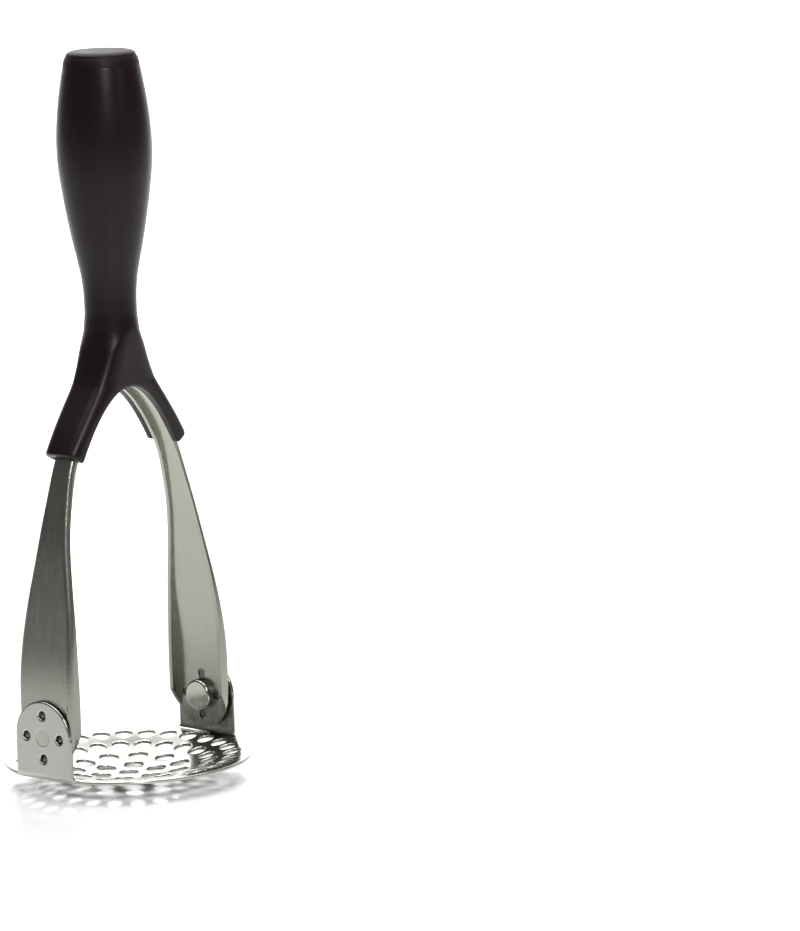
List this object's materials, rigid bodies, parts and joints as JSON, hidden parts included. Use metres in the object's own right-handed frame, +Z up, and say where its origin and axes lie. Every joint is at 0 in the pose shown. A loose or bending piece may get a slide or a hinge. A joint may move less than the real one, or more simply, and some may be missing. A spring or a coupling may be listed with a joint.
{
  "type": "folding potato masher",
  "caption": "Folding potato masher: perforated dished steel plate hinged between the arms of a steel yoke, with a dark barrel handle.",
  "frame": {"origin": "on the table under the middle of the mashing plate, plate deployed", "axes": "+X along the fold axis through both ears, +Y across the arms, +Z up the handle"},
  "size_m": [0.0886, 0.09, 0.2631],
  "materials": {
    "plate_steel": "polished stainless sheet, fine wear",
    "brushed_arm": "stainless strip, brushed along its length",
    "pin_steel": "satin",
    "polished_cap": "polished",
    "spring_steel": "rolled spring strip",
    "hardware_steel": "zinc grey",
    "nylon": "natural",
    "core_plastic": "as moulded",
    "soft_grip": "soft touch, satin",
    "gloss_cap": "glossy"
  },
  "bodies": {
    "frame": {"yoke_strap": "brushed_arm", "pivot_pin_right": "pin_steel", "pivot_pin_left": "pin_steel", "pivot_bush_right": "nylon", "pivot_bush_left": "nylon", "head_washer_right": "hardware_steel", "head_washer_left": "hardware_steel", "detent_spring_right": "spring_steel", "detent_spring_left": "spring_steel", "hinge_cap_right": "polished_cap", "hinge_cap_left": "polished_cap", "tang_stud": "hardware_steel", "tang_washer": "hardware_steel", "tang_lock_washer": "spring_steel", "tang_nut": "hardware_steel", "core_half_front": "core_plastic", "core_half_back": "core_plastic", "core_screws": "hardware_steel", "handle_grip": "soft_grip", "end_cap": "gloss_cap"},
    "plate": {"mash_plate": "plate_steel"}
  },
  "joints": [
    {"name": "plate_fold", "type": "hinge", "parent": "frame", "child": "plate", "pos_m": [0, 0, 0.0225], "axis": [1, 0, 0], "range_deg": [-90, 90], "deforming": ["detent_spring_right", "detent_spring_left"]}
  ]
}
